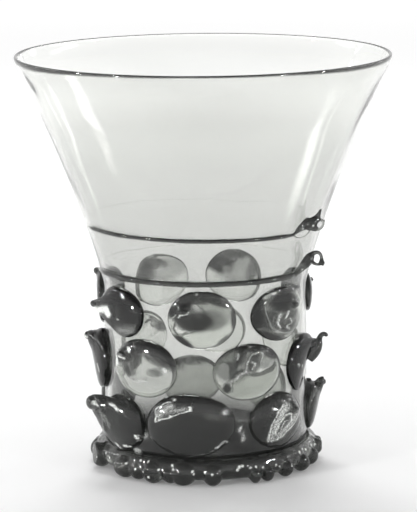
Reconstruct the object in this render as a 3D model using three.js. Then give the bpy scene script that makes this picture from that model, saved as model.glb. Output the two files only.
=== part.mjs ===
// A berkemeyer: a blown drinking glass with a funnel bowl on a wide hollow stem. The stem carries
// three rows of prunts, each pulled out into a thorn. Two trails of glass run round the bowl's root,
// and a pincered trail is its foot. Millimetres, +Z up. The origin is on the axis, on the table.
// Angles are seen from above: 0 is the front, which faces -Y, and they grow towards +X.
import * as THREE from "three";

// The blown vessel
const totalHeight = 145.8;
const rimRadius = 66.1;
const stemRadius = 36.1; // outside
const stemHeight = 65; // where the bowl starts to flare
const flarePower = 1.2; // 1 is a straight cone
const rimWall = 1.2;
const stemWall = 1.8;
const baseWall = 3;
const baseLift = 3.2; // lowest glass of the base over the table
const heelRadius = 9; // rounding between the stem and the base, outside
const kickRise = 10; // the base is pushed up by this at its middle

// The foot, a thick trail pinched into knobs
const footHeight = 9.4;
const footOverhang = 5.6; // a knob's reach past the stem
const pinchOverhang = 2.4; // the reach between two knobs
const pinchLift = 2.6; // the underside between two knobs, over the table
const footSoleInner = 4.6; // the sole's inner edge, inside the stem's outside
const footSoleOuter = 1.2; // the sole's outer edge, outside the stem's outside

// Prunts and their thorns
const pruntEdge = 1.1; // thickness at a prunt's rim
const pruntCrown = 4.3; // thickness of its body
const thornReach = 6; // from the stem's wall to the thorn's tip

// Threads round the root of the bowl
const lowerThreadRadius = 1.05;
const upperThreadRadius = 0.75;
const lowerThreadRise = 6; // above the stem's top
const upperThreadRise = 21.3;
const threadDepthShare = 0.6; // how far a thread stands off the wall, of its height
const lowerTailReach = 5.4;
const upperTailReach = 7.2;

const pontilWall = 1.3; // the scar left by the iron, under the kick
const fuseGap = 0.3; // between pieces that are fused on the real glass

const pruntsInRow = 7;
const vesselSides = 48;
const pruntSides = 14;
const footSides = 138;
const threadSides = 6;
const threadSteps = 54;
const tailSteps = 18;

// Shares, without a unit
const bowlShares = [0, 0.04, 0.12, 0.25, 0.4, 0.6, 0.8, 1]; // of the bowl's height
const kickShares = [0, 0.12, 0.2, 0.3, 0.45, 0.6, 0.8, 1]; // of the kick's radius
const pontilFirst = 1; // the scar spans these kick shares, first to last
const pontilLast = 3;
const heelSteps = 4;
const rowShares = { low: 0.19, mid: 0.49, top: 0.805 }; // of the stem between foot and thread
const pruntWidthShare = 0.72; // of the room each has round the stem
const pruntHeightShare = 0.333; // of the stem between foot and thread

// Each prunt: angle in degrees, rise of its middle, width, height, thorn tip to the side, thorn tip up,
// thorn reach, crown, and the hook at the tip, outwards and up. All but the angle are shares of the
// prunt's own size.
const pruntTable = {
  low: [
    [-115, 0, 0.95, 0.95, -0.2, 0.7, 0.8, 1, 0.03, 0.1],
    [-56, -0.02, 1, 1.02, -0.62, 0.78, 1.18, 1.15, 0.04, 0.04],
    [-9.5, 0.02, 1.27, 1.1, -0.3, 0.55, 0.85, 1.2, 0, 0],
    [45.5, -0.01, 0.94, 0.98, 0.3, 0.35, 0.95, 1.15, 0, 0],
    [97, -0.24, 0.94, 0.86, 0.15, 0.8, 1.02, 1.05, 0.05, 0.06],
    [141, 0, 1, 0.96, 0.2, 0.6, 0.9, 1, 0.03, 0],
    [186, -0.06, 1, 0.93, 0, 0.65, 0.9, 1, 0.03, 0.05],
  ],
  mid: [
    [-88, -0.09, 0.96, 0.96, -0.1, 0.84, 0.92, 1, 0.03, -0.05],
    [-35.4, 0.03, 1.03, 1.02, -0.5, 0.45, 0.95, 1.05, 0.02, 0],
    [24.8, 0.04, 0.98, 0.92, 0.08, 0.8, 0.9, 0.95, 0, -0.1],
    [76, -0.1, 0.98, 1.04, 0.3, 0.78, 1, 1.1, 0.05, 0.12],
    [124, 0, 1, 0.98, 0.1, 0.65, 0.9, 1, 0.03, 0.05],
    [173, 0.08, 0.98, 0.92, -0.1, 0.7, 0.9, 1, 0.03, 0],
    [222, 0, 1, 0.96, 0.2, 0.6, 0.9, 1, 0.03, 0.05],
  ],
  top: [
    [-152, 0.08, 0.98, 0.96, 0.1, 0.5, 0.85, 0.95, 0.02, 0],
    [-105, -0.02, 0.95, 0.98, -0.1, 0.8, 0.62, 0.8, 0.03, 0.05],
    [-54, 0, 1, 0.9, -0.85, 0.25, 0.88, 1.1, 0.03, 0.02],
    [-2, 0, 1, 1.04, -0.45, 0.3, 0.85, 1.05, 0, 0],
    [46, 0.02, 0.98, 0.92, 0.35, 0.1, 1, 1.1, 0.02, 0.04],
    [103, 0.1, 0.9, 0.66, 0.1, 0.45, 0.58, 0.75, 0, 0],
    [162, 0.16, 0.96, 0.94, 0.1, 0.55, 0.85, 0.95, 0.02, 0],
  ],
};
// A prunt's rings from its rim to its thorn: size, way along to the tip, height on the crown, height on
// the thorn
const ringShares = [
  [1, 0, 0, 0],
  [0.96, 0.02, 0.3, 0],
  [0.86, 0.1, 0.62, 0.03],
  [0.69, 0.28, 0.85, 0.14],
  [0.5, 0.52, 0.95, 0.34],
  [0.34, 0.74, 1, 0.6],
  [0.21, 0.9, 1, 0.84],
  [0.12, 1, 1, 1],
];
const backShares = [0.55, 1]; // the same outline against the stem, from its middle to its rim
const tipShare = 0.05; // of the prunt's width
const pruntBodyShare = 0.7; // of the crown, where the thorn begins
// The foot's outside, from its top: how far out to its reach, and how far up from its sole
const footBulgeShares = [[0.3, 1], [0.8, 0.82], [1, 0.5], [0.84, 0.18]];
const gripTilts = [-72, -54, -36, -18]; // degrees, where the foot grips the heel's rounding
const flatPullShare = 0.72; // a knob is flat below from this much of its pull

const knobSkirtShare = 1.5; // a knob runs out at this much of its half-width
const knobPower = 1.2; // over 1 makes the knobs narrower than their pinches
// The foot's knobs: angle in degrees and half-width in degrees
const knobTable = [
  [4, 5.5], [28, 4], [35.5, 4], [46, 4.6], [61.5, 5.2], [76, 4.6], [90, 4.6], [105, 5.5], [121, 5.5],
  [137, 5.5], [152, 5], [167, 5.5], [183, 5.5], [199, 5], [215, 5.5], [231, 5.5], [247, 5], [262, 5.5],
  [277, 7], [291, 7.5], [314.5, 7.5], [330, 6.5], [347, 7],
];

// Loose ends of the threads: along the thread, out from the wall and up, as shares of the tail's reach
const upperTailShares = [
  [0.35, 0.03, 0.05], [0.7, 0.1, 0.12], [1.05, 0.2, 0.25], [1.28, 0.32, 0.48], [1.12, 0.36, 0.76],
  [0.82, 0.28, 0.84], [0.74, 0.2, 1.05], [0.88, 0.2, 1.25],
];
const lowerTailShares = [
  [0.3, 0.03, 0.1], [0.65, 0.12, 0.4], [0.95, 0.3, 0.74], [1.08, 0.58, 0.88], [1.12, 0.84, 0.7],
  [1.1, 0.9, 0.36], [1.05, 0.82, 0.08],
];
const tailRoundShare = 0.4; // of a tail's length, over which it turns round
const upperThreadSpan = { from: 86, to: 402 }; // degrees
const lowerThreadSpan = { from: 92, to: 420 };

const degree = Math.PI / 180;
const bowlHeight = totalHeight - stemHeight;
const kickRadius = stemRadius - heelRadius;
const heelTop = baseLift + heelRadius;
const lowerThreadHeight = stemHeight + lowerThreadRise;
const upperThreadHeight = stemHeight + upperThreadRise;
const rowsFoot = footHeight;
const rowsSpan = lowerThreadHeight - lowerThreadRadius - rowsFoot;
const pruntHalfWidth = (pruntWidthShare * Math.PI * stemRadius) / pruntsInRow;
const pruntHalfHeight = (pruntHeightShare * rowsSpan) / 2;

const mix = (from, to, share) => from + (to - from) * share;
const onWall = (angle, radius, height) =>
  new THREE.Vector3(radius * Math.sin(angle), -radius * Math.cos(angle), height);

// Outside radius of the stem and bowl at a height over the heel.
function outerRadius(height) {
  const share = Math.min(1, Math.max(0, (height - stemHeight) / bowlHeight));
  return stemRadius + (rimRadius - stemRadius) * share ** flarePower;
}

// Radius at a distance off the wall, square to it.
function standOff(height, distance) {
  const step = bowlHeight / vesselSides;
  const slope = (outerRadius(height + step) - outerRadius(height)) / step;
  return outerRadius(height) + distance * Math.hypot(1, slope);
}

// Underside of the kick at a share of its radius.
const kickHeight = (share) => baseLift + (kickRise * (1 + Math.cos(Math.PI * share))) / 2;

// A closed surface over rings of points, from a first to a last point. Rings turn to the left when
// they are seen from the last point.
function skin(rings, first, last) {
  const sides = rings[0].length;
  const points = [...rings.flat(), first, last];
  const lastRing = (rings.length - 1) * sides;
  const faces = [];
  for (let side = 0; side < sides; side++) {
    const next = (side + 1) % sides;
    for (let ring = 0; ring < rings.length - 1; ring++) {
      const [here, above] = [ring * sides, (ring + 1) * sides];
      faces.push(here + side, here + next, above + next);
      faces.push(here + side, above + next, above + side);
    }
    faces.push(points.length - 2, next, side);
    faces.push(points.length - 1, lastRing + side, lastRing + next);
  }
  return meshGeometry(points, faces);
}

// A closed ring over sections of points, the last section joined to the first.
function band(sections) {
  const sides = sections[0].length;
  const faces = [];
  sections.forEach((section, index) => {
    const here = index * sides;
    const after = ((index + 1) % sections.length) * sides;
    for (let side = 0; side < sides; side++) {
      const next = (side + 1) % sides;
      faces.push(here + side, after + next, after + side);
      faces.push(here + side, here + next, after + next);
    }
  });
  return meshGeometry(sections.flat(), faces);
}

function meshGeometry(points, faces) {
  const geometry = new THREE.BufferGeometry().setFromPoints(points);
  geometry.setIndex(faces);
  geometry.computeVertexNormals();
  return geometry;
}

// Turns a profile of radius and height round the axis.
function turned(profile) {
  const outline = profile.map(([radius, height]) => new THREE.Vector2(radius, height));
  return new THREE.LatheGeometry(outline, vesselSides).rotateX(Math.PI / 2);
}

// The blown vessel: kick, heel, stem and bowl, outside and then inside.
function vesselGeometry() {
  const profile = kickShares.map((share) => [share * kickRadius, kickHeight(share)]);
  for (let step = 1; step <= heelSteps; step++) {
    const turn = (step / heelSteps) * 90 * degree;
    profile.push([kickRadius + heelRadius * Math.sin(turn), heelTop - heelRadius * Math.cos(turn)]);
  }
  const bowl = bowlShares.map((share) => stemHeight + share * bowlHeight);
  const rimDrop = rimWall / 2; // the lip is rounded
  for (const height of bowl.slice(0, -1)) profile.push([outerRadius(height), height]);
  profile.push([rimRadius, totalHeight - rimDrop]);
  profile.push([rimRadius - rimDrop, totalHeight]);
  profile.push([rimRadius - rimWall, totalHeight - rimDrop]);
  for (const height of bowl.slice(0, -1).reverse()) {
    const wall = mix(stemWall, rimWall, (height - stemHeight) / bowlHeight);
    profile.push([outerRadius(height) - wall, height]);
  }
  for (let step = heelSteps - 1; step >= 0; step--) {
    const turn = (step / (heelSteps - 1)) * 90 * degree;
    const width = heelRadius - stemWall;
    const depth = heelRadius - baseWall;
    profile.push([kickRadius + width * Math.sin(turn), heelTop - depth * Math.cos(turn)]);
  }
  for (const share of kickShares.slice(0, -1).reverse()) {
    profile.push([share * kickRadius, kickHeight(share) + baseWall]);
  }
  return turned(profile);
}

// The rough scar where the pontil iron was broken off, a shallow ring under the kick.
function pontilGeometry() {
  const spots = kickShares.slice(pontilFirst, pontilLast + 1);
  const top = spots.map((share) => [share * kickRadius, kickHeight(share) - fuseGap]);
  const middle = top[1];
  return turned([top[0], [middle[0], middle[1] - pontilWall], ...top.slice(1).reverse(), top[0]]);
}

// How far the foot's glass is pulled out at an angle in degrees: 0 in a pinch, 1 on a knob.
function knobPull(angle) {
  const pulls = knobTable.map(([middle, halfWidth]) => {
    const away = Math.abs(((((angle - middle) % 360) + 540) % 360) - 180);
    const share = away / (halfWidth * knobSkirtShare);
    return share < 1 ? Math.cos(share * 90 * degree) ** knobPower : 0;
  });
  return Math.max(...pulls);
}

// The foot: it grips the heel from outside, and stands on the soles of its knobs.
function footGeometry() {
  const sections = [];
  const gripRadius = heelRadius + fuseGap;
  for (let side = 0; side < footSides; side++) {
    const turn = (side / footSides) * 360;
    const pull = knobPull(turn);
    const reach = stemRadius + mix(pinchOverhang, footOverhang, pull);
    const sole = pinchLift * Math.max(0, 1 - pull / flatPullShare);
    const grip = gripTilts.map((tilt) => [
      kickRadius + gripRadius * Math.cos(tilt * degree),
      heelTop + gripRadius * Math.sin(tilt * degree),
    ]);
    const bulge = footBulgeShares.map(([out, up]) => [
      mix(stemRadius, reach, out),
      mix(sole, footHeight, up),
    ]);
    const underside = [[stemRadius + footSoleOuter, sole], [stemRadius - footSoleInner, sole]];
    const section = [...grip, ...bulge, ...underside];
    sections.push(section.map(([radius, height]) => onWall(turn * degree, radius, height)));
  }
  return band(sections);
}

// One prunt with its thorn. It lies on the stem, so its width runs round the wall.
function pruntGeometry(row, spec) {
  const [angle, rise, width, height, tipSide, tipUp, reach, crown, hookOut, hookUp] = spec;
  const halfWidth = pruntHalfWidth * width;
  const halfHeight = pruntHalfHeight * height;
  const middle = rowsFoot + rowShares[row] * rowsSpan + rise * pruntHalfHeight;
  const place = (sideways, up, out) => {
    const level = middle + up;
    return onWall(angle * degree + sideways / stemRadius, outerRadius(level) + fuseGap + out, level);
  };
  const ring = (size, sideways, up, out) => {
    const points = [];
    for (let side = 0; side < pruntSides; side++) {
      const turn = (side / pruntSides) * 360 * degree;
      points.push(place(
        sideways + size * halfWidth * Math.cos(turn),
        up + size * halfHeight * Math.sin(turn),
        out,
      ));
    }
    return points;
  };
  const rings = backShares.map((size) => ring(size, 0, 0, 0));
  const body = pruntCrown * crown * pruntBodyShare;
  const thorn = thornReach * reach - body;
  for (const [size, along, onCrown, onThorn] of ringShares) {
    const out = mix(pruntEdge, body, onCrown) + thorn * onThorn;
    rings.push(ring(size, along * tipSide * halfWidth, along * tipUp * halfHeight, out));
  }
  const tip = place(
    tipSide * halfWidth,
    (tipUp + hookUp) * halfHeight,
    thornReach * reach + (hookOut + tipShare) * halfWidth,
  );
  return skin(rings, place(0, 0, 0), tip);
}

// The route of a trail's middle: once round the bowl's root, then off the wall in a curl.
function threadPath(height, depth, span, tailShares, tailReach) {
  const wallAt = standOff(height, fuseGap + depth);
  const path = [];
  for (let step = 0; step <= threadSteps; step++) {
    path.push(onWall(mix(span.from, span.to, step / threadSteps) * degree, wallAt, height));
  }
  const bends = tailShares.map(([along, out, up]) => {
    const level = height + up * tailReach;
    const flare = outerRadius(level) - outerRadius(height);
    return onWall(span.to * degree + (along * tailReach) / wallAt, wallAt + flare + out * tailReach, level);
  });
  const tail = new THREE.CatmullRomCurve3([...path.slice(-2), ...bends]);
  const startOfTail = 1 / (bends.length + 1);
  for (let step = 1; step <= tailSteps; step++) {
    path.push(tail.getPoint(mix(startOfTail, 1, step / tailSteps)));
  }
  return path;
}

// A trail laid flat on the wall, which turns round where its loose end leaves it.
function threadGeometry(height, radius, span, tailShares, tailReach) {
  const path = threadPath(height, radius * threadDepthShare, span, tailShares, tailReach);
  const up = new THREE.Vector3(0, 0, 1);
  const rings = path.map((point, index) => {
    const before = path[Math.max(0, index - 1)];
    const after = path[Math.min(path.length - 1, index + 1)];
    const along = after.clone().sub(before).normalize();
    up.addScaledVector(along, -up.dot(along)).normalize();
    const across = new THREE.Vector3().crossVectors(up, along);
    const inTail = Math.max(0, (index - threadSteps) / tailSteps);
    const depth = radius * mix(threadDepthShare, 1, Math.min(1, inTail / tailRoundShare));
    return [...Array(threadSides).keys()].map((side) => {
      const turn = (side / threadSides) * 360 * degree;
      return point.clone()
        .addScaledVector(across, depth * Math.cos(turn))
        .addScaledVector(up, radius * Math.sin(turn));
    });
  });
  return skin(rings, path[0].clone(), path[path.length - 1].clone());
}

const glass = new THREE.Group();

function addPiece(name, geometry, color, opacity) {
  const material = new THREE.MeshStandardMaterial({
    color, roughness: 0.05, metalness: 0, transparent: true, opacity,
  });
  const mesh = new THREE.Mesh(geometry, material);
  mesh.name = name;
  glass.add(mesh);
}

const paleGlass = 0xc9cec6;
const trailGlass = 0x6f776c;
const thickGlass = 0x2c312b;

addPiece("vessel", vesselGeometry(), paleGlass, 0.35);
addPiece("foot_ring", footGeometry(), thickGlass, 0.85);
addPiece("pontil_mark", pontilGeometry(), trailGlass, 0.6);
addPiece(
  "lower_thread",
  threadGeometry(lowerThreadHeight, lowerThreadRadius, lowerThreadSpan, lowerTailShares, lowerTailReach),
  trailGlass, 0.6,
);
addPiece(
  "upper_thread",
  threadGeometry(upperThreadHeight, upperThreadRadius, upperThreadSpan, upperTailShares, upperTailReach),
  trailGlass, 0.6,
);
for (const [row, specs] of Object.entries(pruntTable)) {
  specs.forEach((spec, index) => {
    const isLow = row === "low";
    const name = `prunt_${row}_${index + 1}`;
    addPiece(name, pruntGeometry(row, spec), isLow ? thickGlass : trailGlass, isLow ? 0.85 : 0.6);
  });
}

export default glass;
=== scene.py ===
import math

import bmesh
import bpy
from mathutils import Matrix, Quaternion, Vector, noise


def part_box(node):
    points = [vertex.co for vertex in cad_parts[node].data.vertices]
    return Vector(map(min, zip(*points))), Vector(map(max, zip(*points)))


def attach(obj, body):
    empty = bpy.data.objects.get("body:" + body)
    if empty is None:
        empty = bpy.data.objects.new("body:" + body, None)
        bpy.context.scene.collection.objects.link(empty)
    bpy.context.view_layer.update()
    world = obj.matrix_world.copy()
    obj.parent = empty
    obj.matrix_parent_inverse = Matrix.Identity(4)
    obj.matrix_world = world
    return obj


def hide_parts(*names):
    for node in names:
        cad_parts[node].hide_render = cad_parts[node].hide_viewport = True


# A berkemeyer of pale forest glass. Metres, +Z up, front towards -Y.
# Angles round the glass are seen from above: 0 is the front, and they grow towards +X.
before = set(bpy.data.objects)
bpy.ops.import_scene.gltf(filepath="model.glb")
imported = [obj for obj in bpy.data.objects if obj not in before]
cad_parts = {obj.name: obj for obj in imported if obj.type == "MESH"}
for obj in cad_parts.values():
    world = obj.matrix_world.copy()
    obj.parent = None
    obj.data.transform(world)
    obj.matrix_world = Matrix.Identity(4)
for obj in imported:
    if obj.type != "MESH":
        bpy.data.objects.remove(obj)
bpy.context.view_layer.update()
mm = 0.001
mergeDistance = 0.0005 * mm  # points closer than this are one
vesselLow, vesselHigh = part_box("vessel")
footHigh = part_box("foot_ring")[1]


def mix(start, end, share):
    return start + (end - start) * share


def smoothStep(share):
    share = min(1, max(0, share))
    return share * share * (3 - 2 * share)


def steps(count):
    # shares of a way, from its first step to its end
    return [step / count for step in range(1, count + 1)]


def alongTable(table, place):
    # straight between the rows of (place, value)
    for (here, value), (there, other) in zip(table, table[1:]):
        if place < there:
            return mix(value, other, max(0, place - here) / (there - here))
    return table[-1][1]


def onWall(angle, radius, height):
    return Vector((radius * math.sin(angle), -radius * math.cos(angle), height))


def angleOf(point):
    return math.atan2(point.x, -point.y)


seedShares = (1, 1.7, 0.6)  # each seed shifts the noise this way


def wavering(point, scale, seed):
    # smooth noise from -1 to 1, the same on every run
    return noise.noise(point / scale + Vector([seed * share for share in seedShares]))


def bulge(away):
    # 1 in the middle, falling off smoothly past a distance of 1
    return math.exp(-away * away)


def turnFrom(angle, middle):
    # how far an angle lies from another, in degrees
    return abs((angle - middle + 180) % 360 - 180)


def clear(point):
    # no painted light anywhere
    return 0


def keepMesh(name, bm, node, kind, passes, paintedLight=clear):
    # a finished piece: merged, faces outwards, on its body and in place of its CAD node;
    # passes says how much light the glass lets through at a point, painted shade included, and the last
    # argument how white it is painted there, as painted highlights and painted light in shade
    bmesh.ops.remove_doubles(bm, verts=bm.verts, dist=mergeDistance)
    bmesh.ops.recalc_face_normals(bm, faces=bm.faces)
    for layerName, valueAt in (("passes", passes), ("paintedLight", paintedLight)):
        layer = bm.verts.layers.float.new(layerName)
        for vert in bm.verts:
            vert[layer] = valueAt(vert.co)
    mesh = bpy.data.meshes.new(name)
    bm.to_mesh(mesh)
    bm.free()
    mesh.shade_smooth()
    mesh.materials.append(glass[kind])
    piece = bpy.data.objects.new(name, mesh)
    bpy.context.scene.collection.objects.link(piece)
    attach(piece, "root")
    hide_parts(node)


melting = {"softness": 0.5, "rounds": 5}  # how much a fused skin is smoothed


def meltTogether(bm, voxel):
    # overlapping lumps fused into one skin
    lumps = bpy.data.meshes.new("lumps")
    bm.to_mesh(lumps)
    bm.free()
    holder = bpy.data.objects.new("lumps", lumps)
    bpy.context.scene.collection.objects.link(holder)
    melt = holder.modifiers.new("melt", "REMESH")
    melt.mode = "VOXEL"
    melt.voxel_size = voxel
    calm = holder.modifiers.new("calm", "SMOOTH")
    calm.factor, calm.iterations = melting["softness"], melting["rounds"]
    fused = bmesh.new()
    fused.from_object(holder, bpy.context.evaluated_depsgraph_get())
    bpy.data.objects.remove(holder)
    bpy.data.meshes.remove(lumps)
    return fused


tube = {"roundness": 4, "stepsBetween": 6, "order": 4}  # how finely a tube is drawn


def addTube(bm, points, radii):
    # a smooth tube near the points, with closed ends
    curve = bpy.data.curves.new("tube", "CURVE")
    curve.dimensions = "3D"
    curve.bevel_depth = 1
    curve.bevel_resolution = tube["roundness"]
    curve.use_fill_caps = True
    curve.resolution_u = tube["stepsBetween"]
    spline = curve.splines.new("NURBS")
    spline.points.add(len(points) - 1)
    for spot, point, radius in zip(spline.points, points, radii):
        spot.co = (*point, 1)
        spot.radius = radius
    spline.use_endpoint_u = True
    spline.order_u = min(tube["order"], len(points))
    holder = bpy.data.objects.new("tube", curve)
    mesh = bpy.data.meshes.new_from_object(holder)
    bm.from_mesh(mesh)
    bpy.data.objects.remove(holder)
    bpy.data.meshes.remove(mesh)
    bpy.data.curves.remove(curve)


ringRadius = 3  # of the unit ring's middle, whose section has a radius of 1


def addRing(bm, sides, turns):
    # the unit ring, for a builder to place
    bmesh.ops.create_circle(bm, cap_ends=False, segments=sides, radius=1)
    for vert in bm.verts:
        vert.co = Vector((vert.co.x + ringRadius, 0, vert.co.y))
    bmesh.ops.spin(
        bm, geom=bm.verts[:] + bm.edges[:], cent=(0, 0, 0), axis=(0, 0, 1), dvec=(0, 0, 0),
        angle=2 * math.pi, steps=turns, use_merge=True, use_duplicate=False,
    )


def fillSocket(links, socket, value):
    # with a link from another node or with a plain value
    if isinstance(value, bpy.types.NodeSocket):
        links.new(value, socket)
    else:
        socket.default_value = value


def mathNode(nodes, links, operation, first, second):
    node = nodes.new("ShaderNodeMath")
    node.operation = operation
    for socket, value in zip(node.inputs, (first, second)):
        fillSocket(links, socket, value)
    return node.outputs[0]


def mixNode(nodes, links, kind, factor, first, second, blend="MIX"):
    node = nodes.new("ShaderNodeMix")
    node.data_type = kind
    node.blend_type = blend
    for name, value in (("Factor", factor), ("A", first), ("B", second)):
        fillSocket(links, node.inputs[name], value)
    return node.outputs["Result"]


def rangeNode(nodes, links, value, valueRange, resultRange, interpolation="LINEAR"):
    node = nodes.new("ShaderNodeMapRange")
    node.interpolation_type = interpolation
    node.inputs["From Min"].default_value, node.inputs["From Max"].default_value = valueRange
    node.inputs["To Min"].default_value, node.inputs["To Max"].default_value = resultRange
    links.new(value, node.inputs["Value"])
    return node.outputs["Result"]


def noiseNode(nodes, links, place, scale, detail):
    node = nodes.new("ShaderNodeTexNoise")
    node.inputs["Scale"].default_value = scale
    node.inputs["Detail"].default_value = detail
    links.new(place, node.inputs["Vector"])
    return node.outputs["Fac"]


def attributeNode(nodes, name):
    node = nodes.new("ShaderNodeAttribute")
    node.attribute_name = name
    return node.outputs["Fac"]


# Glass. The hue is slight, a grey green.
# What all kinds share: the fine grain of the painted highlights, the colour of the haze and of the painted
# highlights, and the depth of the ripple.
anyGlass = {
    "ior": 1.5, "cloudDetail": 3,
    "grainScale": 2400, "grainDetail": 3, "grainRange": (0.35, 0.6), "paintedLightGrain": (0.35, 1),
    "hazeAndPaintedLightColor": (0.8, 0.82, 0.79),
    "rippleDetail": 2, "rippleDepth": 0.3 * mm,
}
# haze and dull: how milky and how rough a kind is where no light passes. absorbs and density: what
# the body of the glass soaks up. tint and deepTint lie side by side in clouds.
glassKinds = {
    "vesselGlass": {
        "haze": 0.05, "dull": 0.04, "specular": 0.5,
        "tint": (0.995, 1, 0.985), "deepTint": (0.965, 0.975, 0.95), "absorbs": (0.4, 0.43, 0.385),
        "density": 20, "roughness": (0, 0.015), "tintScale": 18, "ripple": 0.05, "rippleScale": 60,
    },
    "trailGlass": {
        "haze": 0.03, "dull": 0.05, "specular": 0.35,
        "tint": (0.97, 0.98, 0.96), "deepTint": (0.8, 0.82, 0.78), "absorbs": (0.3, 0.33, 0.29),
        "density": 120, "roughness": (0, 0.03), "tintScale": 120, "ripple": 0.1, "rippleScale": 300,
    },
    "pruntGlass": {
        "haze": 0.035, "dull": 0.07, "specular": 0.25,
        "tint": (0.99, 1, 0.985), "deepTint": (0.93, 0.95, 0.915), "absorbs": (0.34, 0.37, 0.33),
        "density": 10, "roughness": (0, 0.02), "tintScale": 140, "ripple": 0.12, "rippleScale": 240,
    },
    "lowPruntGlass": {
        "haze": 0.14, "dull": 0.07, "specular": 0.22,
        "tint": (0.96, 0.98, 0.94), "deepTint": (0.8, 0.83, 0.78), "absorbs": (0.3, 0.33, 0.28),
        "density": 40, "roughness": (0, 0.03), "tintScale": 130, "ripple": 0.14, "rippleScale": 220,
    },
    "footGlass": {
        "haze": 0.13, "dull": 0.08, "specular": 0.1,
        "tint": (0.96, 0.98, 0.94), "deepTint": (0.8, 0.83, 0.78), "absorbs": (0.3, 0.33, 0.28),
        "density": 40, "roughness": (0, 0.02), "tintScale": 140, "ripple": 0.14, "rippleScale": 240,
    },
    "scarGlass": {
        "haze": 0.2, "dull": 0.1, "specular": 0.5,
        "tint": (0.85, 0.86, 0.84), "deepTint": (0.6, 0.62, 0.59), "absorbs": (0.3, 0.33, 0.29),
        "density": 200, "roughness": (0.2, 0.5), "tintScale": 200, "ripple": 0.4, "rippleScale": 700,
    },
}


def makeGlass(name, look):
    material = bpy.data.materials.new(name)
    material.use_nodes = True
    nodes, links = material.node_tree.nodes, material.node_tree.links
    shader = nodes["Principled BSDF"]
    shader.inputs["IOR"].default_value = anyGlass["ior"]
    shader.inputs["Specular IOR Level"].default_value = look["specular"]
    place = nodes.new("ShaderNodeTexCoord").outputs["Object"]

    cloud = noiseNode(nodes, links, place, look["tintScale"], anyGlass["cloudDetail"])
    tint = mixNode(nodes, links, "RGBA", cloud, (*look["tint"], 1), (*look["deepTint"], 1))
    passes = attributeNode(nodes, "passes")
    # the tint times passes, which carries the glass's own darkness and the painted shade
    thick = mixNode(nodes, links, "RGBA", 1, tint, passes, "MULTIPLY")

    # painted highlights and painted light in shade: cloudy white cords and spots, which let less light
    # through
    grain = noiseNode(nodes, links, place, anyGlass["grainScale"], anyGlass["grainDetail"])
    speckle = rangeNode(nodes, links, grain, anyGlass["grainRange"], anyGlass["paintedLightGrain"])
    hazeAndPaintedLight = mathNode(nodes, links, "MULTIPLY", attributeNode(nodes, "paintedLight"), speckle)
    dark = mathNode(nodes, links, "SUBTRACT", 1, passes)
    hazeAndPaintedLight = mathNode(nodes, links, "MAXIMUM", hazeAndPaintedLight, mathNode(nodes, links, "MULTIPLY", dark, look["haze"]))
    hazeAndPaintedLight = mathNode(nodes, links, "MINIMUM", hazeAndPaintedLight, 1)
    whiter = mixNode(nodes, links, "RGBA", hazeAndPaintedLight, thick, (*anyGlass["hazeAndPaintedLightColor"], 1))
    links.new(whiter, shader.inputs["Base Color"])
    links.new(mathNode(nodes, links, "SUBTRACT", 1, hazeAndPaintedLight), shader.inputs["Transmission Weight"])

    rough = rangeNode(nodes, links, cloud, (0, 1), look["roughness"])
    dull = mathNode(nodes, links, "MULTIPLY", dark, look["dull"])
    links.new(mathNode(nodes, links, "ADD", rough, dull), shader.inputs["Roughness"])

    bump = nodes.new("ShaderNodeBump")
    bump.inputs["Strength"].default_value = look["ripple"]
    bump.inputs["Distance"].default_value = anyGlass["rippleDepth"]
    ripple = noiseNode(nodes, links, place, look["rippleScale"], anyGlass["rippleDetail"])
    links.new(ripple, bump.inputs["Height"])
    links.new(bump.outputs["Normal"], shader.inputs["Normal"])

    soak = nodes.new("ShaderNodeVolumeAbsorption")
    soak.inputs["Color"].default_value = (*look["absorbs"], 1)
    soak.inputs["Density"].default_value = look["density"]
    links.new(soak.outputs["Volume"], nodes["Material Output"].inputs["Volume"])
    return material


glass = {name: makeGlass(name, look) for name, look in glassKinds.items()}
print("glass mixed")

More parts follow.
